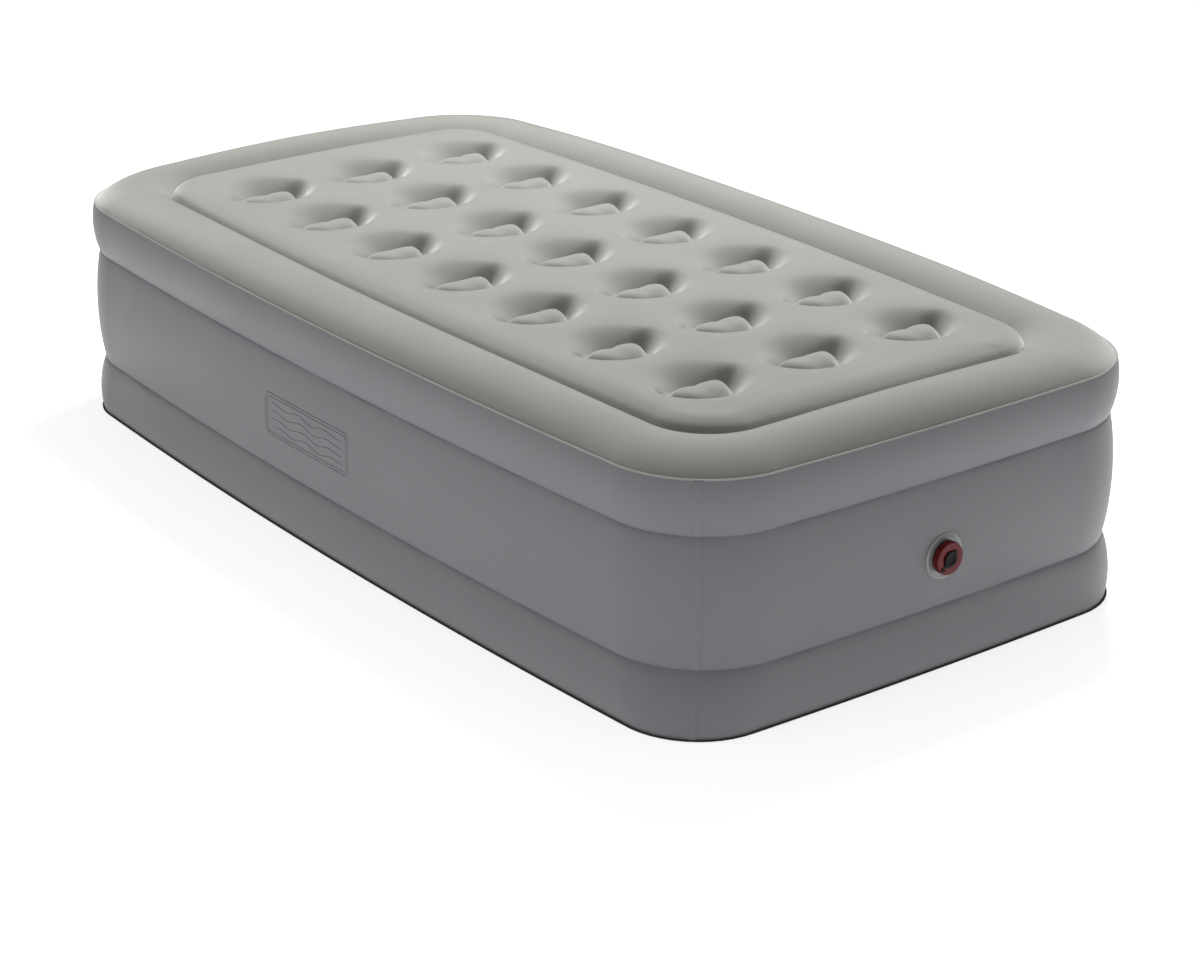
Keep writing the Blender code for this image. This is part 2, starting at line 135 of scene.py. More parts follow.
# Applies a piece's modifiers
def bake(piece):
    mesh = evaluatedMesh(piece, piece.name)
    piece.modifiers.clear()
    piece.data = mesh
    return piece


# The welds that shape the top: the groove round the sleeping surface, and a ring at each pit
top = {
    "arcSteps": 28,
    "sideSteps": 170,
    "endSteps": 70,
    "bolsterRings": 20,
    "crown": 0.039,
    "cornerCrown": 0.028,
    "cornerReach": 0.26,
    "grooveHeight": seamHeight + 0.0090,
    "surfaceHeight": seamHeight + 0.0326,
    "edgeWidth": 0.075,
    "edgeRings": 6,          # rings of the sleeping surface that still follow the groove
    "edgeReach": 0.040,
    "stillReach": 0.03,      # the cloth stays still this near to the grid's corners
    "stillFade": 0.06,
    "rimRadius": 0.108,      # where a pit begins to dip
    "weldBack": 0.012,       # the weld in each pit is nearly straight on its head side
    "weldFront": 0.058,
    "weldHalf": 0.064,
    "weldShift": -0.008,     # its middle, from the pit's middle
    "weldRound": 2.2,        # 2 is an ellipse, more is squarer
    "weldCell": 0.008,       # grid points this near are drawn onto the weld
    "pitDepth": 0.052,
    "frontRise": 0.14,       # how much shallower the weld is towards the foot end
    "endRise": 0.08,
    "wallCurve": 1.85,
    "domeHeight": 0.032,
    "domeFall": 2.0,         # how soon the pillow falls off towards the foot end
    "domeFlat": 3.0,         # how much flatter it stays along its ridge
    "pillow": 0.006,
    "blend": 0.006,
}
pits = [
    ((low.x + high.x) / 2, (low.y + high.y) / 2)
    for low, high in (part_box(f"coil_{row}_{column}") for row in (1, 2, 3) for column in range(1, 8))
]


# The bolster's rise at each station, a little lower towards the corners
def crownRound(seam):
    x, y = np.abs(seam[:, 0] - centreX), np.abs(seam[:, 1])
    cut = plan["corner"] * 0.293
    off = np.hypot(x - (halfLength - cut), y - (halfWidth - cut))
    return top["crown"] - (top["crown"] - top["cornerCrown"]) * np.exp(-(off / top["cornerReach"]) ** 2)


# How far inside the groove a point lies
def grooveDistance(x, y):
    radius = plan["grooveCorner"]
    a = halfLength - grooveInset
    b = halfWidth - grooveInset
    along = np.clip(np.abs(x - centreX) / (a - radius), 0, 1)
    across = np.clip(np.abs(y) / (b - radius), 0, 1)
    qx = np.abs(x - centreX) - plan["endBow"] * (1 - across ** 2) - (a - radius)
    qy = np.abs(y) - plan["sideBow"] * (1 - along ** 2) - (b - radius)
    outside = np.hypot(np.maximum(qx, 0), np.maximum(qy, 0)) + np.minimum(np.maximum(qx, qy), 0)
    return radius - outside


# Height of an inflated sheet above its weld, as a share of its full rise
def inflated(distance, width):
    s = np.clip(distance / width, 0, 1)
    return np.sqrt(np.maximum(1 - (1 - s) ** 2, 0))


# Polar place of points about a pit's weld: their reach, the weld's own reach and the rim's
def weldPlace(x, y, px, py):
    dx, dy = x - px - top["weldShift"], y - py
    reach = np.maximum(np.hypot(dx, dy), 1e-6)
    c, w = dx / reach, dy / reach
    side = np.where(c > 0, top["weldFront"], top["weldBack"])
    power = top["weldRound"]
    weld = (np.abs(c / side) ** power + np.abs(w / top["weldHalf"]) ** power) ** (-1 / power)
    rim = top["rimRadius"] - top["weldShift"] * c
    return dx, dy, reach, weld, rim


# The sleeping surface as it stands inflated, with its groove edge and its pits
def surfaceHeightAt(x, y):
    full = top["surfaceHeight"] + top["pillow"]
    height = top["grooveHeight"] + (full - top["grooveHeight"]) * inflated(grooveDistance(x, y), top["edgeWidth"])
    for px, py in pits:
        dx, dy, reach, weld, rim = weldPlace(x, y, px, py)
        # the weld runs deepest along its straight side
        inward = np.minimum(1, weld / reach)
        front = np.clip((dx * inward + top["weldBack"]) / (top["weldBack"] + top["weldFront"]), 0, 1)
        ends = np.minimum((dy * inward / top["weldHalf"]) ** 2, 1)
        depth = top["pitDepth"] * (1 - top["frontRise"] * front - top["endRise"] * ends)
        floor = full - depth
        out = np.clip((reach - weld) / (rim - weld), 0, 1)
        wall = floor + depth * (1 - (1 - out) ** top["wallCurve"])
        # the pillow keeps level along its ridge and slopes down towards the foot end
        fall = top["domeFall"] + top["domeFlat"] * (dy / reach) ** 2
        dome = floor + top["domeHeight"] * np.maximum(1 - np.minimum(reach / weld, 1) ** fall, 0) ** 0.5
        pit = np.where(reach < weld, dome, wall)
        k = top["blend"]
        h = np.clip(0.5 + 0.5 * (height - pit) / k, 0, 1)
        height = height * (1 - h) + pit * h - k * h * (1 - h)
    return height


# Draws grid points onto the nearest pit's weld, so that the weld is a clean line
def snapToWelds(x, y, cell):
    for px, py in pits:
        dx, dy, reach, weld, _ = weldPlace(x, y, px, py)
        gap = weld - reach
        pull = np.clip(1.5 - np.abs(gap) / cell, 0, 1)
        share = (reach + gap * pull) / reach
        x, y = x - dx + dx * share, y - dy + dy * share
    return x, y


# A grid that fills a closed border whose points start at its low corner and run anticlockwise
def coonsGrid(border, nx, ny):
    bottom = border[: nx + 1]
    right = border[nx : nx + ny + 1]
    upper = border[nx + ny : 2 * nx + ny + 1][::-1]
    left = np.concatenate([border[2 * nx + ny :], border[:1]])[::-1]
    u = np.linspace(0, 1, nx + 1)[None, :, None]
    v = np.linspace(0, 1, ny + 1)[:, None, None]
    sides = (1 - v) * bottom[None] + v * upper[None] + (1 - u) * left[:, None] + u * right[:, None]
    corners = (1 - u) * (1 - v) * bottom[0] + u * (1 - v) * bottom[-1]
    corners = corners + (1 - u) * v * upper[0] + u * v * upper[-1]
    return sides - corners


def makeTopShape():
    arc = top["arcSteps"]
    stations = makeStations(arc, top["sideSteps"], top["endSteps"])
    count = len(stations[0])
    nx = top["sideSteps"] + arc
    ny = top["endSteps"] + arc
    # the loop starts half way round the corner at the head end's right
    start = 2 * arc + top["sideSteps"] + top["endSteps"] + arc // 2
    order = (np.arange(count) + start) % count
    seam, _ = outlinePoints(stations, 0, plan["corner"])
    crown = crownRound(seam)
    groove, _ = outlinePoints(stations, grooveInset, plan["grooveCorner"])
    rings, heights = [], []
    rows = top["bolsterRings"]
    for k in range(rows + 1):
        share = 0.5 - 0.5 * math.cos(math.pi * k / rows)
        rings.append(seam * (1 - share) + groove * share)
        chord = seamHeight + share * (top["grooveHeight"] - seamHeight)
        # a round arch from the seam to the groove
        bend = (grooveInset ** 2 / 4 + crown ** 2) / (2 * crown)
        arch = np.sqrt(np.maximum(bend ** 2 - ((share - 0.5) * grooveInset) ** 2, 0)) - (bend - crown)
        heights.append(chord + arch)
    for k in range(1, top["edgeRings"] + 1):
        inset = top["edgeReach"] * k / top["edgeRings"]
        points, _ = outlinePoints(stations, grooveInset + inset, plan["grooveCorner"] - inset)
        rings.append(points)
        heights.append(surfaceHeightAt(points[:, 0], points[:, 1]))
    grid = coonsGrid(rings[-1][order], nx, ny)
    gx, gy = snapToWelds(grid[1:-1, 1:-1, 0], grid[1:-1, 1:-1, 1], top["weldCell"])
    gz = surfaceHeightAt(gx, gy)
    ringPoints = np.concatenate([np.column_stack([r, h]) for r, h in zip(rings, heights)])
    gridPoints = np.stack([gx, gy, gz], 2).reshape(-1, 3)
    points = np.concatenate([ringPoints, gridPoints])
    faces = []
    for k in range(len(rings) - 1):
        faces += ringFaces(count, k * count, (k + 1) * count)
    last = (len(rings) - 1) * count
    gridStart = len(ringPoints)

    def at(i, j):
        if 0 < i < nx and 0 < j < ny:
            return gridStart + (j - 1) * (nx - 1) + (i - 1)
        if j == 0:
            k = i
        elif i == nx:
            k = nx + j
        elif j == ny:
            k = nx + ny + (nx - i)
        else:
            k = 2 * nx + ny + (ny - j)
        return last + int(order[k % count])

    for j in range(ny):
        for i in range(nx):
            faces.append((at(i, j), at(i + 1, j), at(i + 1, j + 1), at(i, j + 1)))
    welds = list(range(count)) + list(range(rows * count, (rows + 1) * count))
    onWeld = np.zeros(len(points), bool)
    for px, py in pits:
        _, _, reach, weld, _ = weldPlace(points[:, 0], points[:, 1], px, py)
        onWeld |= np.abs(reach - weld) < 1e-5
    welds += [int(i) for i in np.nonzero(onWeld)[0]]
    # the cloth is kept still where the grid's own corners lie
    still = np.array([rings[-1][order][i] for i in (0, nx, nx + ny, 2 * nx + ny)])
    near = np.min([np.hypot(points[:, 0] - x, points[:, 1] - y) for x, y in still], axis=0)
    return points, faces, welds, np.clip((near - top["stillReach"]) / top["stillFade"], 0, 1)[:, None]


cloth = {
    "quality": 6,
    "mass": 0.35,
    "stiffness": 30.0,
    "shear": 12.0,
    "bending": 3.0,
    "damping": 4.0,
    "pressure": 4.0,
    "frames": 16,
    "furthest": 0.0032,      # no point moves further than this
}


# Blows the sheet up as cloth held at its welds, then takes the result as its mesh
def inflate(piece, welds, share):
    start = np.array([v.co for v in piece.data.vertices])
    held = piece.vertex_groups.new(name="welds")
    held.add(welds, 1.0, "REPLACE")
    blow = piece.modifiers.new("Inflate", "CLOTH")
    blow.settings.quality = cloth["quality"]
    blow.settings.mass = cloth["mass"]
    blow.settings.tension_stiffness = cloth["stiffness"]
    blow.settings.compression_stiffness = cloth["stiffness"]
    blow.settings.shear_stiffness = cloth["shear"]
    blow.settings.bending_stiffness = cloth["bending"]
    blow.settings.air_damping = cloth["damping"]
    blow.settings.use_pressure = True
    blow.settings.uniform_pressure_force = cloth["pressure"]
    blow.settings.effector_weights.gravity = 0.0
    blow.settings.vertex_group_mass = "welds"
    blow.collision_settings.use_collision = False
    blow.point_cache.frame_start = 1
    blow.point_cache.frame_end = cloth["frames"]
    for step in range(1, cloth["frames"] + 1):
        bpy.context.scene.frame_set(step)
    mesh = evaluatedMesh(piece, piece.name)
    moved = np.array([v.co for v in mesh.vertices]) - start
    reach = np.maximum(np.linalg.norm(moved, axis=1, keepdims=True), 1e-9)
    moved *= share * np.minimum(1.0, cloth["furthest"] / reach)
    piece.modifiers.clear()
    piece.vertex_groups.clear()
    piece.data.vertices.foreach_set("co", (start + moved).ravel())
    piece.data.update()
    bpy.context.scene.frame_set(1)
    print("cloth moved up to", round(float(reach.max()) * 1000, 1), "mm")
    return piece


def makeTop():
    points, faces, welds, share = makeTopShape()
    piece = meshFrom("flockedTop", points, faces)
    inflate(piece, welds, share)
    smooth = piece.modifiers.new("Smooth", "SUBSURF")
    smooth.levels = smooth.render_levels = 1
    return bake(piece)


# Side wall: three bands that swell between two creases
wall = {
    "arcSteps": 44,
    "sideSteps": 150,
    "endSteps": 66,
    "creaseInset": 0.006,
    "bulge": 0.0125,
    "footStart": 0.12,       # where the lowest band's arch starts and the upper one's ends
    "upperEnd": 0.82,
    "fullness": 0.68,        # less is squarer
    "pucker": 0.0011,
    "puckerReach": 0.020,
    "puckerStart": 0.004,
    "puckerScales": (14, 31),
    "footHeight": 0.0012,
    "bandRows": (14, 24, 12),
}


# How far the wall stands out from the seam's outline at height z
def wallGrowth(z):
    z = np.asarray(z, float)
    foot = np.clip(z / lowerCrease, 0, 1)
    middle = np.clip((z - lowerCrease) / (upperCrease - lowerCrease), 0, 1)
    upper = np.clip((z - upperCrease) / (seamHeight - upperCrease), 0, 1)
    low = np.sin(math.pi * (wall["footStart"] + (1 - wall["footStart"]) * foot))
    mid = np.sin(math.pi * middle)
    high = np.sin(math.pi * upper * wall["upperEnd"])
    share = np.where(z < lowerCrease, low, np.where(z < upperCrease, mid, high))
    return wall["bulge"] * np.maximum(share, 0) ** wall["fullness"] - wall["creaseInset"]


# One level ring of the wall at height z, with its outward directions
def wallPoints(stations, z):
    share = float(np.clip(z / lowerCrease, 0, 1))
    grow = float(wallGrowth(z))
    foot, outward = outlinePoints(stations, plan["footInset"], plan["footCorner"], grow)
    upper, _ = outlinePoints(stations, 0, plan["corner"], grow)
    points = foot * (1 - share) + upper * share
    return points, outward


# Small gathers that the welds pull into the wall beside each crease
def puckerAt(points, z):
    reach = min(abs(z - lowerCrease), abs(z - upperCrease))
    fade = math.exp(-reach / wall["puckerReach"])
    fade *= min(reach / wall["puckerStart"], 1.0)
    if fade < 0.02:
        return np.zeros(len(points))
    wide, fine = wall["puckerScales"]
    waves = [
        noise.noise((x * wide, y * wide, round(z * 3))) + 0.5 * noise.noise((x * fine, y * fine, 7.0))
        for x, y in points
    ]
    return wall["pucker"] * fade * np.array(waves)


def wallHeights():
    rows = []
    levels = [wall["footHeight"], lowerCrease, upperCrease, seamHeight - sheetGap]
    for low, high, count in zip(levels, levels[1:], wall["bandRows"]):
        for i in range(count):
            share = 0.5 - 0.5 * math.cos(math.pi * i / count)
            rows.append(low + (high - low) * share)
    return rows + [levels[-1]]


valve = {
    "y": (flangeLow.y + flangeHigh.y) / 2,
    "z": (flangeLow.z + flangeHigh.z) / 2,
    "wallX": wallHigh.x,
    "hole": 0.0238,
    "flat": 0.043,
    "flatFade": 0.075,       # where the wall is fully round again
}


def makeWall():
    stations = makeStations(wall["arcSteps"], wall["sideSteps"], wall["endSteps"])
    count = len(stations[0])
    rows = wallHeights()
    points = []
    for z in rows:
        ring, outward = wallPoints(stations, z)
        ring = ring + outward * puckerAt(ring, z)[:, None]
        points.append(np.column_stack([ring, np.full(count, z)]))
    points = np.concatenate(points)
    # the flange holds the wall flat around the valve
    reach = np.hypot(points[:, 1] - valve["y"], points[:, 2] - valve["z"])
    atFoot = points[:, 0] > centreX + 0.9 * halfLength
    share = np.clip((valve["flatFade"] - reach) / (valve["flatFade"] - valve["flat"]), 0, 1) * atFoot
    share = share * share * (3 - 2 * share)
    points[:, 0] = points[:, 0] * (1 - share) + (valve["wallX"] - 0.0001) * share
    holes = reach < valve["hole"]
    faces = []
    for k in range(len(rows) - 1):
        for face in ringFaces(count, k * count, (k + 1) * count):
            if not (holes[list(face)].all() and atFoot[face[0]]):
                faces.append(face)
    return meshFrom("sideWall", points, faces)


# The upright lap weld where the wall's strip closes, on the corner beside the foot end
lap = {
    "from": -43.5,
    "to": -38.3,
    "rise": 0.0011,
    "sunk": -0.0002,         # its two edges lie just under the wall
    "edge": 0.08,
    "steps": 8,
}


def makeLap():
    steps = lap["steps"]
    angle = np.radians(np.linspace(lap["from"], lap["to"], steps + 1))
    angle[1] = angle[0] + lap["edge"] * (angle[-1] - angle[0])
    angle[-2] = angle[-1] - lap["edge"] * (angle[-1] - angle[0])
    stations = (np.full(steps + 1, 3), angle + 2 * math.pi, np.zeros(steps + 1))
    rise = np.full(steps + 1, lap["rise"])
    rise[0] = rise[-1] = lap["sunk"]
    rows = wallHeights()
    points, faces = [], []
    for z in rows:
        ring, outward = wallPoints(stations, z)
        ring = ring + outward * (puckerAt(ring, z) + rise)[:, None]
        points.append(np.column_stack([ring, np.full(steps + 1, z)]))
    for k in range(len(rows) - 1):
        for i in range(steps):
            a = k * (steps + 1) + i
            faces.append((a, a + 1, a + steps + 2, a + steps + 1))
    return meshFrom("lapWeld", np.concatenate(points), faces)


# The hem of the flocked sheet, welded over the wall's upper edge
hem = {
    "width": 0.0056,
    "proud": 0.0018,
    "drop": 0.0006,
    "steps": 8,
    "arcSteps": 40,
}


def makeHem():
    stations = makeStations(hem["arcSteps"], wall["sideSteps"], wall["endSteps"])
    count = len(stations[0])
    rows = []
    for k in range(hem["steps"]):
        turn = 2 * math.pi * k / hem["steps"]
        height = seamHeight - hem["drop"] + hem["width"] / 2 * math.sin(turn)
        ring, _ = outlinePoints(stations, 0, plan["corner"], sheetGap + hem["proud"] * math.cos(turn))
        rows.append(np.column_stack([ring, np.full(count, height)]))
    faces = []
    for k in range(hem["steps"]):
        faces += ringFaces(count, k * count, ((k + 1) % hem["steps"]) * count)
    return meshFrom("seamHem", np.concatenate(rows), faces)


# Base sheet: dark, with a lip that shows past the wall's foot
base = {
    "lip": 0.0045,
    "thickness": 0.0012,
    "pitRing": 0.056,
    "pitWidth": 0.032,
    "pitDepth": 0.011,
    "arcSteps": 12,
    "sideSteps": 90,
    "endSteps": 38,
}


def baseHeightAt(x, y):
    height = np.zeros_like(x)
    for px, py in pits:
        r = np.hypot(x - px, y - py)
        rise = 1 - inflated(r - base["pitRing"], base["pitWidth"])
        height = np.maximum(height, base["pitDepth"] * rise)
    return height


def makeBase():
    arc, side, end = base["arcSteps"], base["sideSteps"], base["endSteps"]
    stations = makeStations(arc, side, end)
    count = len(stations[0])
    start = 2 * arc + side + end + arc // 2
    order = (np.arange(count) + start) % count
    edge, _ = outlinePoints(stations, plan["footInset"], plan["footCorner"], base["lip"])
    nx, ny = side + arc, end + arc
    grid = coonsGrid(edge[order], nx, ny)
    x, y = grid[..., 0], grid[..., 1]
    z = baseHeightAt(x, y)
    points = np.stack([x, y, z], 2).reshape(-1, 3)
    faces = []
    for j in range(ny):
        for i in range(nx):
            a = j * (nx + 1) + i
            faces.append((a, a + nx + 1, a + nx + 2, a + 1))
    piece = meshFrom("baseSheet", points, faces)
    sheet = piece.modifiers.new("Sheet", "SOLIDIFY")
    sheet.thickness = base["thickness"]
    sheet.offset = -1.0
    return bake(piece)


# Shared shader groups
def newGroup(name, inputs, outputs):
    group = bpy.data.node_groups.new(name, "ShaderNodeTree")
    for label, kind, value in inputs:
        socket = group.interface.new_socket(label, in_out="INPUT", socket_type=kind)
        if value is not None:
            socket.default_value = value
    for label, kind in outputs:
        group.interface.new_socket(label, in_out="OUTPUT", socket_type=kind)
    return group, group.nodes.new("NodeGroupInput"), group.nodes.new("NodeGroupOutput")


def addNode(tree, kind, settings=None, **inputs):
    node = tree.nodes.new(kind)
    for key, value in (settings or {}).items():
        setattr(node, key, value)
    for key, value in inputs.items():
        socket = node.inputs[int(key[1:])] if key[0] == "i" and key[1:].isdigit() else node.inputs[key]
        if isinstance(value, bpy.types.NodeSocket):
            tree.links.new(value, socket)
        else:
            socket.default_value = value
    return node


def makeFlockGroup():
    group, given, out = newGroup("flockNap", [
        ("Light", "NodeSocketColor", (0.4, 0.4, 0.38, 1)),
        ("Dark", "NodeSocketColor", (0.3, 0.3, 0.28, 1)),
        ("Fibre Scale", "NodeSocketFloat", 1500.0),
        ("Patch Scale", "NodeSocketFloat", 7.0),
    ], [("Color", "NodeSocketColor"), ("Height", "NodeSocketFloat"), ("Roughness", "NodeSocketFloat")])
    place = addNode(group, "ShaderNodeTexCoord").outputs["Object"]
    # the nap lies one way and another in broad soft patches
    patch = addNode(group, "ShaderNodeTexNoise", Vector=place, Scale=given.outputs["Patch Scale"],
                    Detail=3.0, Roughness=0.55)
    speck = addNode(group, "ShaderNodeTexNoise", Vector=place, Scale=260.0, Detail=2.0, Roughness=0.6)
    fibre = addNode(group, "ShaderNodeTexNoise", Vector=place, Scale=given.outputs["Fibre Scale"],
                    Detail=2.0, Roughness=0.7)
    broad = addNode(group, "ShaderNodeMapRange", Value=patch.outputs["Fac"], i1=0.3, i2=0.7)
    fine = addNode(group, "ShaderNodeMapRange", Value=speck.outputs["Fac"], i1=0.3, i2=0.7)
    both = addNode(group, "ShaderNodeMath", {"operation": "MULTIPLY"}, i0=fine.outputs[0], i1=0.45)
    share = addNode(group, "ShaderNodeMath", {"operation": "MULTIPLY_ADD"}, i0=broad.outputs[0], i1=0.55,
                    i2=both.outputs[0])
    mix = addNode(group, "ShaderNodeMix", {"data_type": "RGBA"}, i0=share.outputs[0])
    group.links.new(given.outputs["Dark"], mix.inputs[6])
    group.links.new(given.outputs["Light"], mix.inputs[7])
    rough = addNode(group, "ShaderNodeMapRange", Value=speck.outputs["Fac"], i1=0.2, i2=0.8, i3=0.86, i4=0.98)
    lift = addNode(group, "ShaderNodeMath", {"operation": "MULTIPLY_ADD"}, i0=speck.outputs["Fac"], i1=0.4,
                   i2=fibre.outputs["Fac"])
    group.links.new(mix.outputs[2], out.inputs["Color"])
    group.links.new(lift.outputs[0], out.inputs["Height"])
    group.links.new(rough.outputs[0], out.inputs["Roughness"])
    return group


def makeVinylGroup():
    group, given, out = newGroup("vinylGrain", [
        ("Color", "NodeSocketColor", (0.17, 0.17, 0.18, 1)),
        ("Dust Color", "NodeSocketColor", (0.3, 0.3, 0.3, 1)),
        ("Dust", "NodeSocketFloat", 0.08),
        ("Grain Scale", "NodeSocketFloat", 900.0),
        ("Roughness", "NodeSocketFloat", 0.48),
    ], [("Color", "NodeSocketColor"), ("Height", "NodeSocketFloat"), ("Roughness", "NodeSocketFloat")])
    place = addNode(group, "ShaderNodeTexCoord").outputs["Object"]
    grain = addNode(group, "ShaderNodeTexNoise", Vector=place, Scale=given.outputs["Grain Scale"],
                    Detail=3.0, Roughness=0.6)
    cloud = addNode(group, "ShaderNodeTexNoise", Vector=place, Scale=5.0, Detail=5.0, Roughness=0.6)
    pores = addNode(group, "ShaderNodeTexVoronoi", Vector=place, Scale=420.0)
    haze = addNode(group, "ShaderNodeMapRange", Value=cloud.outputs["Fac"], i1=0.35, i2=0.75)
    dust = addNode(group, "ShaderNodeMath", {"operation": "MULTIPLY"}, i0=haze.outputs[0], i1=given.outputs["Dust"])
    tint = addNode(group, "ShaderNodeMix", {"data_type": "RGBA"}, i0=dust.outputs[0])
    group.links.new(given.outputs["Color"], tint.inputs[6])
    group.links.new(given.outputs["Dust Color"], tint.inputs[7])
    wave = addNode(group, "ShaderNodeMath", {"operation": "MULTIPLY_ADD"}, i0=haze.outputs[0], i1=0.10,
                   i2=given.outputs["Roughness"])
    lift = addNode(group, "ShaderNodeMath", {"operation": "MULTIPLY_ADD"}, i0=pores.outputs["Distance"], i1=0.6,
                   i2=grain.outputs["Fac"])
    group.links.new(tint.outputs[2], out.inputs["Color"])
    group.links.new(lift.outputs[0], out.inputs["Height"])
    group.links.new(wave.outputs[0], out.inputs["Roughness"])
    return group


def newMaterial(name, group, values, bump, paintedSheenHeadOn=None, **shaderValues):
    made = bpy.data.materials.new(name)
    made.use_nodes = True
    tree = made.node_tree
    shader = tree.nodes["Principled BSDF"]
    surface = tree.nodes.new("ShaderNodeGroup")
    surface.node_tree = group
    for label, value in values.items():
        surface.inputs[label].default_value = value
    tree.links.new(surface.outputs["Color"], shader.inputs["Base Color"])
    tree.links.new(surface.outputs["Roughness"], shader.inputs["Roughness"])
    relief = tree.nodes.new("ShaderNodeBump")
    relief.inputs["Strength"].default_value = bump[0]
    relief.inputs["Distance"].default_value = bump[1]
    tree.links.new(surface.outputs["Height"], relief.inputs["Height"])
    tree.links.new(relief.outputs["Normal"], shader.inputs["Normal"])
    for label, value in shaderValues.items():
        shader.inputs[label.replace("_", " ")].default_value = value
    if paintedSheenHeadOn:
        # painted sheen: the pile's colour is darkened where the surface faces the camera and kept lighter where it
        # is seen at a slant
        sheen = addNode(tree, "ShaderNodeLayerWeight", Blend=0.5)
        lean = addNode(tree, "ShaderNodeMapRange", Value=sheen.outputs["Facing"], i1=0.08, i2=0.72)
        paintedSheenMix = addNode(tree, "ShaderNodeMix", {"data_type": "RGBA"}, i0=lean.outputs[0], i6=paintedSheenHeadOn,
                       i7=surface.outputs["Color"])
        tree.links.new(paintedSheenMix.outputs[2], shader.inputs["Base Color"])
    made.diffuse_color = (*tuple(values.get("Light", values.get("Color")))[:3], 1)
    return made


flockGroup = makeFlockGroup()
vinylGroup = makeVinylGroup()
looks = {
    # the flocked top's colour carries a painted sheen, darker where the surface faces the camera
    "flock": newMaterial("flockedVelour", flockGroup, {
        "Light": (0.300, 0.294, 0.272, 1), "Dark": (0.252, 0.247, 0.226, 1),
        "Fibre Scale": 1700.0, "Patch Scale": 6.0,
    }, (0.35, 0.0006), paintedSheenHeadOn=(0.205, 0.201, 0.184, 1), Sheen_Weight=1.0, Sheen_Roughness=0.5,
        Sheen_Tint=(1.0, 0.985, 0.95, 1), Specular_IOR_Level=0.12),
    "vinyl": newMaterial("wallVinyl", vinylGroup, {
        "Color": (0.176, 0.173, 0.188, 1), "Dust Color": (0.23, 0.226, 0.238, 1), "Dust": 0.22,
        "Grain Scale": 1100.0, "Roughness": 0.44,
    }, (0.12, 0.0003), Specular_IOR_Level=0.42),
    # the hem's lighter colour is partly its own lighter edge and partly a painted highlight along the seam
    "hem": newMaterial("hemVelour", flockGroup, {
        "Light": (0.44, 0.43, 0.41, 1), "Dark": (0.36, 0.35, 0.335, 1), "Fibre Scale": 1700.0, "Patch Scale": 9.0,
    }, (0.25, 0.0004), Sheen_Weight=0.05, Sheen_Roughness=0.5, Specular_IOR_Level=0.2),
    "base": newMaterial("baseVinyl", vinylGroup, {
        "Color": (0.022, 0.022, 0.024, 1), "Dust Color": (0.11, 0.108, 0.10, 1), "Dust": 0.22,
        "Grain Scale": 600.0, "Roughness": 0.55,
    }, (0.35, 0.0005)),
    "inner": newMaterial("innerVinyl", vinylGroup, {
        "Color": (0.42, 0.43, 0.45, 1), "Dust Color": (0.36, 0.36, 0.36, 1), "Dust": 0.2,
        "Grain Scale": 900.0, "Roughness": 0.42,
    }, (0.15, 0.0003)),
    "clear": newMaterial("clearFlange", vinylGroup, {
        "Color": (0.20, 0.197, 0.205, 1), "Dust Color": (0.30, 0.295, 0.29, 1), "Dust": 0.30,
        "Grain Scale": 700.0, "Roughness": 0.20,
    }, (0.06, 0.0002), Coat_Weight=0.5, Coat_Roughness=0.12),
    "red": newMaterial("redCollar", vinylGroup, {
        "Color": (0.115, 0.003, 0.006, 1), "Dust Color": (0.18, 0.05, 0.05, 1), "Dust": 0.06,
        "Grain Scale": 1400.0, "Roughness": 0.30,
    }, (0.08, 0.0002), Specular_IOR_Level=0.24),
    "black": newMaterial("blackCap", vinylGroup, {
        "Color": (0.003, 0.003, 0.0033, 1), "Dust Color": (0.03, 0.029, 0.028, 1), "Dust": 0.04,
        "Grain Scale": 1500.0, "Roughness": 0.42,
    }, (0.12, 0.0002), Specular_IOR_Level=0.12),
    "rubber": newMaterial("sealRubber", vinylGroup, {
        "Color": (0.020, 0.020, 0.020, 1), "Dust Color": (0.09, 0.09, 0.085, 1), "Dust": 0.2,
        "Grain Scale": 1200.0, "Roughness": 0.62,
    }, (0.2, 0.0002)),
}
print("materials made")


def dress(piece, look):
    piece.data.materials.clear()
    piece.data.materials.append(looks[look])
    return piece


# A closed shape turned about the valve's axis; a profile point is (x from the wall, radius)
def lathe(name, profile, segments, thread=None):
    points, faces = [], []
    for x, radius in profile:
        for i in range(segments):
            angle = 2 * math.pi * i / segments
            r = radius
            if thread and thread["start"] <= x <= thread["end"]:
                turn = (x - thread["start"]) / thread["pitch"] - angle / (2 * math.pi)
                r += thread["depth"] * max(0.0, math.cos(2 * math.pi * turn)) ** 1.5
            points.append((
                valve["wallX"] + x, valve["y"] + r * math.cos(angle), valve["z"] + r * math.sin(angle),
            ))
    rows = len(profile)
    for k in range(rows):
        faces += ringFaces(segments, k * segments, ((k + 1) % rows) * segments)
    piece = meshFrom(name, points, faces)
    bm = bmesh.new()
    bm.from_mesh(piece.data)
    bmesh.ops.recalc_face_normals(bm, faces=bm.faces)
    bm.to_mesh(piece.data)
    bm.free()
    return piece


# A profile with each of its corners rounded
def softProfile(corners, radius, steps=4):
    found = []
    count = len(corners)
    for k in range(count):
        here = np.array(corners[k])
        before, after = np.array(corners[k - 1]), np.array(corners[(k + 1) % count])
        toBefore, toAfter = before - here, after - here
        reach = min(radius, 0.45 * np.linalg.norm(toBefore), 0.45 * np.linalg.norm(toAfter))
        a = here + toBefore / np.linalg.norm(toBefore) * reach
        b = here + toAfter / np.linalg.norm(toAfter) * reach
        for i in range(steps + 1):
            t = i / steps
            found.append(tuple(a * (1 - t) ** 2 + here * 2 * t * (1 - t) + b * t ** 2))
    return found


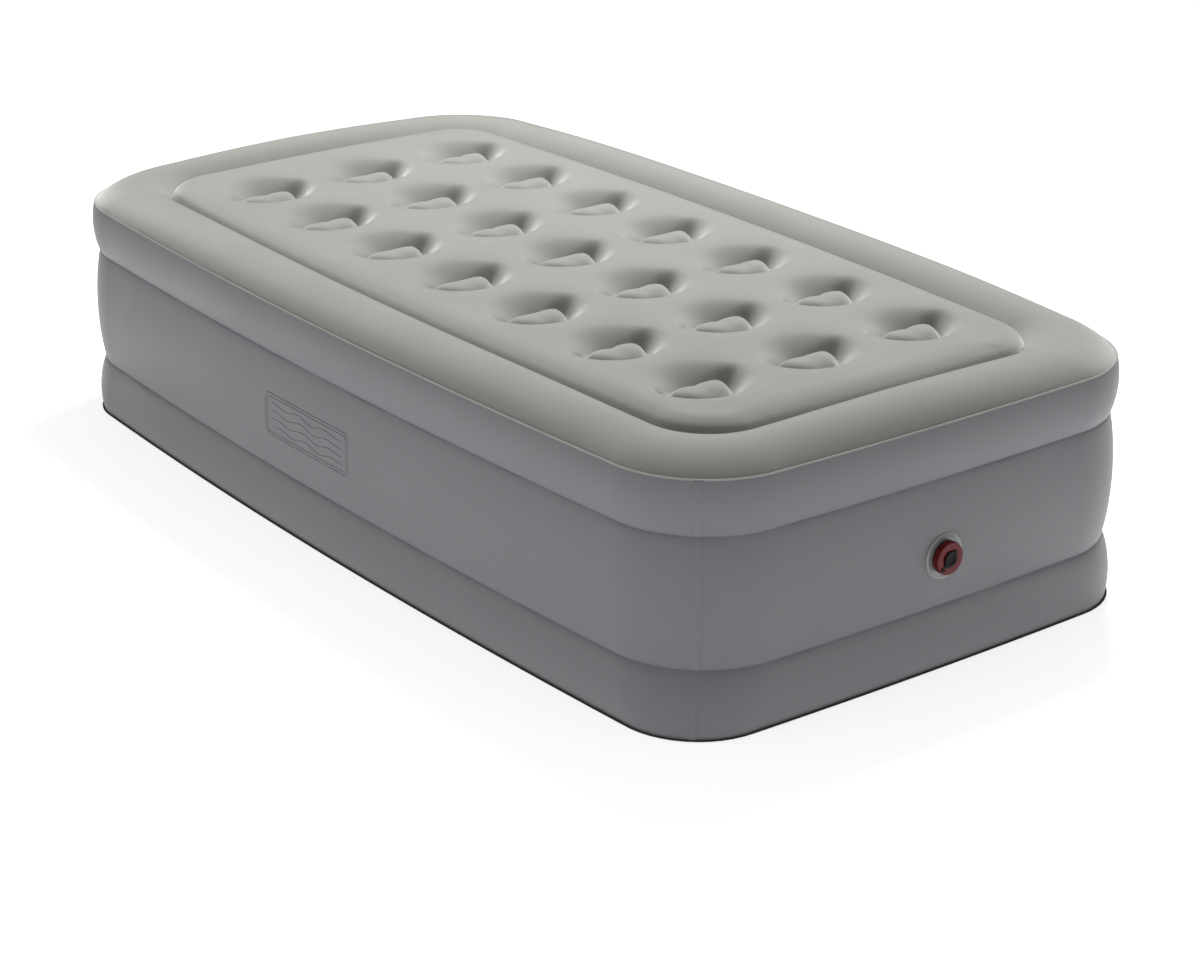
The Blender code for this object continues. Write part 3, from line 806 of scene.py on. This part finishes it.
flangeSizes = {
    "radius": 0.039,
    "thickness": 0.0017,
    "rim": 0.0025,         # how far in the flange's edge slopes
    "bead": 0.0006,        # raised weld bead near the rim, and how far in it starts, flattens and ends
    "beadPlaces": (0.0036, 0.0048, 0.0062),
    "softness": 0.0006,
    "neckOut": 0.0218,
    "neckIn": 0.019,
    "neckHeight": 0.0118,
    "neckDepth": 0.010,
    "threadDepth": 0.0012,
    "threadPitch": 0.004,
    "threadRows": 22,
    "segments": 96,
}


def makeFlange():
    s = flangeSizes
    profile = [(sheetGap, s["neckOut"]), (sheetGap, s["radius"]), (s["thickness"] * 0.6, s["radius"])]
    outer, inner, end = s["beadPlaces"]
    profile += [(s["thickness"] * 0.75, s["radius"] - s["rim"]), (s["thickness"] + s["bead"], s["radius"] - outer)]
    profile += [(s["thickness"] + s["bead"], s["radius"] - inner), (s["thickness"], s["radius"] - end)]
    profile += [(s["thickness"] + 0.0003, s["neckOut"] + 0.0001)]
    profile = softProfile(profile, s["softness"], 3)
    start, end = s["thickness"] + 0.002, s["neckHeight"] - 0.001
    rows = s["threadRows"]
    profile += [(start + (end - start) * i / rows, s["neckOut"]) for i in range(rows + 1)]
    profile += softProfile([(s["neckHeight"], s["neckOut"]), (s["neckHeight"], s["neckIn"])], 0.0004, 2)
    profile += [(-s["neckDepth"], s["neckIn"]), (-s["neckDepth"], s["neckOut"])]
    thread = {"start": start, "end": end, "pitch": s["threadPitch"], "depth": s["threadDepth"]}
    return lathe("valveFlange", profile, s["segments"], thread)


collarSizes = {
    "radius": 0.0278,
    "face": 0.0155,
    "skirt": 0.0036,
    "recess": 0.0005,
    "recessRadius": 0.0145,
    "bore": 0.012,
    "tube": 0.0155,
    "tubeDepth": 0.008,
    "inside": 0.0240,
    "ceiling": 0.0130,
    "ribs": 36,
    "ribRadius": 0.0011,
    "ribSunk": 0.0007,
    "ribMargin": 0.0030,
    "segments": 120,
}


def makeCollar():
    s = collarSizes
    corners = [(s["skirt"], s["radius"] - 0.0008), (s["face"] - 0.0002, s["radius"] - 0.0004)]
    corners += [(s["face"], s["radius"] - 0.0022), (s["face"], s["recessRadius"] + 0.0004)]
    corners += [(s["face"] - s["recess"], s["recessRadius"]), (s["face"] - s["recess"], s["bore"] + 0.0003)]
    corners += [(-s["tubeDepth"], s["bore"]), (-s["tubeDepth"], s["tube"]), (s["ceiling"], s["tube"])]
    corners += [(s["ceiling"], s["inside"]), (s["skirt"], s["inside"])]
    return lathe("valveCollar", softProfile(corners, 0.0009, 4), s["segments"])


# Grip ribs round the collar, set out by Geometry Nodes
def makeGripRibs():
    s = collarSizes
    tree = bpy.data.node_groups.new("gripRibs", "GeometryNodeTree")
    sizes = {}
    for label, kind, value in (
        ("Count", "NodeSocketInt", s["ribs"]),
        ("Ring Radius", "NodeSocketFloat", s["radius"] - s["ribSunk"]),
        ("Rib Radius", "NodeSocketFloat", s["ribRadius"]),
        ("Rib Length", "NodeSocketFloat", s["face"] - s["skirt"] - s["ribMargin"]),
    ):
        socket = tree.interface.new_socket(label, in_out="INPUT", socket_type=kind)
        sizes[label] = (socket.identifier, value)
    tree.interface.new_socket("Geometry", in_out="OUTPUT", socket_type="NodeSocketGeometry")
    given, out = tree.nodes.new("NodeGroupInput"), tree.nodes.new("NodeGroupOutput")
    circle = addNode(tree, "GeometryNodeMeshCircle", Vertices=given.outputs["Count"],
                     Radius=given.outputs["Ring Radius"])
    rib = addNode(tree, "GeometryNodeMeshUVSphere", Segments=10, Rings=8, Radius=given.outputs["Rib Radius"])
    half = addNode(tree, "ShaderNodeMath", {"operation": "DIVIDE"}, i0=given.outputs["Rib Length"],
                   i1=given.outputs["Rib Radius"])
    long = addNode(tree, "ShaderNodeMath", {"operation": "MULTIPLY"}, i0=half.outputs[0], i1=0.5)
    scale = addNode(tree, "ShaderNodeCombineXYZ", X=1.0, Y=1.0, Z=long.outputs[0])
    shaped = addNode(tree, "GeometryNodeTransform", Geometry=rib.outputs["Mesh"], Scale=scale.outputs[0])
    dots = addNode(tree, "GeometryNodeInstanceOnPoints", Points=circle.outputs["Mesh"], Instance=shaped.outputs[0])
    real = addNode(tree, "GeometryNodeRealizeInstances", Geometry=dots.outputs[0])
    # the ring is laid flat, so it is stood up on the valve's axis
    stand = addNode(tree, "GeometryNodeTransform", Geometry=real.outputs[0], Rotation=(0.0, math.pi / 2, 0.0),
                    Translation=(valve["wallX"] + (s["face"] + s["skirt"]) / 2, valve["y"], valve["z"]))
    smooth = addNode(tree, "GeometryNodeSetShadeSmooth", Geometry=stand.outputs[0])
    paint = addNode(tree, "GeometryNodeSetMaterial", Geometry=smooth.outputs[0], Material=looks["red"])
    tree.links.new(paint.outputs[0], out.inputs[0])
    piece = meshFrom("collarGrip", [(0, 0, 0)], [])
    ribs = piece.modifiers.new("Ribs", "NODES")
    ribs.node_group = tree
    for identifier, value in sizes.values():
        ribs[identifier] = value
    return bake(piece)


capSizes = {
    "radius": 0.0135,
    "back": 0.0159,
    "thickness": 0.0022,
    "plug": 0.0110,
    "plugDepth": 0.0038,
    "hinge": 0.0171,
    "heading": 225.0,
    "strap": 0.0080,
    "strapRise": 0.0012,
    "tab": 0.0074,
    "tabReach": 0.0036,
    "tabRise": 0.0015,
    "dimple": 0.0078,      # radius of the shallow dimple in its face
    "dimpleDepth": 0.0009,
    "core": 0.0004,
    "segments": 72,
}


def makeCap():
    s = capSizes
    front = s["back"] + s["thickness"]
    corners = [(s["back"], s["plug"]), (s["back"], s["radius"]), (front - 0.0003, s["radius"])]
    floor = front - s["dimpleDepth"]
    corners += [(front, s["radius"] - 0.0016), (front, 0.0085), (floor, s["dimple"]), (floor, s["core"])]
    corners += [(s["back"] - s["plugDepth"], s["core"]), (s["back"] - s["plugDepth"], s["plug"] - 0.0006)]
    piece = lathe("valveCap", softProfile(corners, 0.0005, 3), s["segments"])
    # the strap runs out to the hinge, and a finger tab stands opposite
    bm = bmesh.new()
    bm.from_mesh(piece.data)
    for heading, near, far, width, rise in (
        (s["heading"], s["radius"] - 0.0014, s["hinge"], s["strap"], s["strapRise"]),
        (s["heading"] - 180, s["radius"] - 0.0016, s["radius"] + s["tabReach"], s["tab"], s["tabRise"]),
    ):
        c, w = math.cos(math.radians(heading)), math.sin(math.radians(heading))
        outline = [(near, -width / 2), (far - 0.0012, -width / 2), (far, -width / 2 + 0.0012),
                   (far, width / 2 - 0.0012), (far - 0.0012, width / 2), (near, width / 2)]
        layers = []
        for x, shrink in ((s["back"] + 0.0001, 0.0), (s["back"] + rise - 0.0003, 0.0), (s["back"] + rise, 0.0003)):
            layer = []
            for along, across in outline:
                across -= math.copysign(shrink, across)
                spot = (valve["wallX"] + x, valve["y"] + along * c - across * w, valve["z"] + along * w + across * c)
                layer.append(bm.verts.new(spot))
            layers.append(layer)
        for lower, upper in zip(layers, layers[1:]):
            for i in range(6):
                bm.faces.new((lower[i], lower[(i + 1) % 6], upper[(i + 1) % 6], upper[i]))
        bm.faces.new(layers[0][::-1])
        bm.faces.new(layers[-1])
    bmesh.ops.recalc_face_normals(bm, faces=bm.faces)
    bm.to_mesh(piece.data)
    bm.free()
    return piece


# Generic embossed panel on the near long side: a rounded frame round a few waves
panel = {
    "left": -0.176,
    "right": 0.094,
    "low": 0.182,
    "high": 0.262,
    "corner": 0.012,
    "ridge": 0.0013,
    "frameGap": 0.0060,      # between the frame's two ridges
    "spacing": 0.004,
    "waves": 4,
    "waveMargin": 0.020,
    "waveHeight": 0.0042,
    "waveTurns": 70,         # radians per metre
    "waveSteps": 90,
}


def wallAt(x, z):
    share = ((x - centreX) / (halfLength - plan["corner"]) + 1) / 2
    station = (np.array([2]), np.array([1.5 * math.pi]), np.array([share]))
    ring, outward = wallPoints(station, z)
    ring = ring + outward * (puckerAt(ring, z)[0] - sheetGap)
    return (float(ring[0, 0]), float(ring[0, 1]), z)


def makePanel():
    p = panel
    paths = []
    for inset in (0.0, p["frameGap"]):
        left, right = p["left"] + inset, p["right"] - inset
        low, high = p["low"] + inset, p["high"] - inset
        radius = p["corner"] - inset * 0.6
        loop = []
        for k, (x, z) in enumerate(((right, high), (left, high), (left, low), (right, low))):
            cx = x - radius if x == right else x + radius
            cz = z - radius if z == high else z + radius
            for i in range(9):
                angle = (k + i / 8) * math.pi / 2
                loop.append((cx + radius * math.cos(angle), cz + radius * math.sin(angle)))
        dense = []
        for (x1, z1), (x2, z2) in zip(loop, loop[1:] + loop[:1]):
            steps = max(1, round(math.hypot(x2 - x1, z2 - z1) / p["spacing"]))
            dense += [(x1 + (x2 - x1) * i / steps, z1 + (z2 - z1) * i / steps) for i in range(steps)]
        paths.append((dense, True))
    for k in range(p["waves"]):
        z0 = p["low"] + (p["high"] - p["low"]) * (k + 1.2) / (p["waves"] + 1.4)
        start, end = p["left"] + p["waveMargin"], p["right"] - p["waveMargin"]
        wave = []
        for i in range(p["waveSteps"] + 1):
            x = start + (end - start) * i / p["waveSteps"]
            fade = math.sin(math.pi * i / p["waveSteps"]) ** 0.5
            wave.append((x, z0 + p["waveHeight"] * fade * math.sin((x - start) * p["waveTurns"] + k * 0.5)))
        paths.append((wave, False))
    points, edges = [], []
    for path, closed in paths:
        first = len(points)
        points += [wallAt(x, z) for x, z in path]
        count = len(path)
        edges += [(first + i, first + (i + 1) % count) for i in range(count if closed else count - 1)]
    mesh = bpy.data.meshes.new("embossedPanel")
    mesh.from_pydata(points, edges, [])
    piece = bpy.data.objects.new("embossedPanel", mesh)
    bpy.context.scene.collection.objects.link(piece)
    tree = bpy.data.node_groups.new("ridgeAlongPath", "GeometryNodeTree")
    tree.interface.new_socket("Geometry", in_out="INPUT", socket_type="NodeSocketGeometry")
    ridge = tree.interface.new_socket("Ridge Radius", in_out="INPUT", socket_type="NodeSocketFloat")
    tree.interface.new_socket("Geometry", in_out="OUTPUT", socket_type="NodeSocketGeometry")
    given, out = tree.nodes.new("NodeGroupInput"), tree.nodes.new("NodeGroupOutput")
    path = addNode(tree, "GeometryNodeMeshToCurve", Mesh=given.outputs["Geometry"])
    shape = addNode(tree, "GeometryNodeCurvePrimitiveCircle", Resolution=8, Radius=given.outputs["Ridge Radius"])
    tube = addNode(tree, "GeometryNodeCurveToMesh", Curve=path.outputs[0])
    tree.links.new(shape.outputs[0], tube.inputs["Profile Curve"])
    tube.inputs["Fill Caps"].default_value = True
    smooth = addNode(tree, "GeometryNodeSetShadeSmooth", Geometry=tube.outputs[0])
    real = addNode(tree, "GeometryNodeRealizeInstances", Geometry=smooth.outputs[0])
    paint = addNode(tree, "GeometryNodeSetMaterial", Geometry=real.outputs[0], Material=looks["vinyl"])
    tree.links.new(paint.outputs[0], out.inputs[0])
    ridges = piece.modifiers.new("Ridges", "NODES")
    ridges.node_group = tree
    ridges[ridge.identifier] = p["ridge"]
    return bake(piece)


# Put together
topPiece = dress(makeTop(), "flock")
print("top sheet inflated")
wallPiece = dress(makeWall(), "vinyl")
lapPiece = dress(makeLap(), "vinyl")
hemPiece = dress(makeHem(), "hem")
basePiece = dress(makeBase(), "base")
panelPiece = dress(makePanel(), "vinyl")
print("side wall, hem and base made")
flangePiece = dress(makeFlange(), "clear")
collarPiece = dress(makeCollar(), "red")
gripPiece = dress(makeGripRibs(), "red")
capPiece = dress(makeCap(), "black")
print("valve made")

for piece in (topPiece, hemPiece, wallPiece, lapPiece, panelPiece, basePiece, flangePiece):
    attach(piece, "mattress")
for piece in (collarPiece, gripPiece):
    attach(piece, "collar")
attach(capPiece, "cap")
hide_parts("top_sheet")
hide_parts("side_wall")
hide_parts("bottom_sheet")
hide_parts("valve_flange")
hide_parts("valve_collar")
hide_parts("valve_cap")
keptLooks = {"cap_tether": "black", "valve_seal": "rubber", "check_flap": "rubber"}
for node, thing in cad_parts.items():
    look = keptLooks.get(node)
    if look is None and (node.startswith("coil_") or node in ("edge_beam", "lower_tie_ring", "upper_tie_ring")):
        look = "inner"
    if look:
        for place in thing.material_slots:
            place.link = "OBJECT"
            place.material = looks[look]

# Floor, soft studio light and camera
studio = {
    "floor": (0.93, 0.93, 0.93, 1),
    "floorGlow": 0.66,
    "horizon": 0.08,
    "zenith": 0.42,
    "key": 120.0,
    "keyPlace": (-0.8, 1.25, 2.95),
    "keySize": 1.5,
    "fill": 10.0,
    "fillPlace": (1.4, -3.6, 2.2),
    "fillSize": 3.0,
}
floorPiece = meshFrom("studioFloor", [(-30, -30, 0), (30, -30, 0), (30, 30, 0), (-30, 30, 0)], [(0, 1, 2, 3)], False)
floorLook = bpy.data.materials.new("paleFloor")
floorLook.use_nodes = True
floorShader = floorLook.node_tree.nodes["Principled BSDF"]
floorShader.inputs["Base Color"].default_value = studio["floor"]
floorShader.inputs["Roughness"].default_value = 0.95
floorShader.inputs["Emission Color"].default_value = (1, 1, 1, 1)
floorShader.inputs["Emission Strength"].default_value = studio["floorGlow"]
floorShader.inputs["Specular IOR Level"].default_value = 0.1
floorPiece.data.materials.append(floorLook)
floorPiece.location.z = -0.0005


def addArea(name, place, size, power, aim=(0, 0, 0.2)):
    lamp = bpy.data.lights.new(name, "AREA")
    lamp.shape = "DISK"
    lamp.size = size
    lamp.energy = power
    holder = bpy.data.objects.new(name, lamp)
    holder.location = place
    holder.rotation_euler = (Vector(aim) - Vector(place)).to_track_quat("-Z", "Y").to_euler()
    bpy.context.scene.collection.objects.link(holder)


addArea("keyLight", studio["keyPlace"], studio["keySize"], studio["key"])
addArea("fillLight", studio["fillPlace"], studio["fillSize"], studio["fill"])
world = bpy.data.worlds.new("softWhite")
world.use_nodes = True
sky = world.node_tree
heading = addNode(sky, "ShaderNodeSeparateXYZ", Vector=addNode(sky, "ShaderNodeTexCoord").outputs["Generated"])
glow = addNode(sky, "ShaderNodeMapRange", {"interpolation_type": "SMOOTHSTEP"}, Value=heading.outputs["Z"],
               i1=-0.05, i2=0.9, i3=studio["horizon"], i4=studio["zenith"])
sky.nodes["Background"].inputs["Color"].default_value = (1, 1, 1, 1)
sky.links.new(glow.outputs[0], sky.nodes["Background"].inputs["Strength"])
bpy.context.scene.world = world
bpy.context.scene.view_settings.view_transform = "Standard"

view = {
    "place": (3.9506 + centreX, -2.9436, 2.0377),
    "heading": (-0.7512, 0.5597, -0.3499),
    "lens": 85.47,
    "sensor": 36.0,
    "shift": (0.0293, -0.0815),
    "clipEnd": 100.0,
}
lens = bpy.data.cameras.new("studioCamera")
lens.lens = view["lens"]
lens.sensor_width = view["sensor"]
lens.shift_x, lens.shift_y = view["shift"]
lens.clip_end = view["clipEnd"]
camera = bpy.data.objects.new("studioCamera", lens)
camera.location = view["place"]
camera.rotation_euler = Vector(view["heading"]).to_track_quat("-Z", "Y").to_euler()
bpy.context.scene.collection.objects.link(camera)
bpy.context.scene.camera = camera

print("stage set")
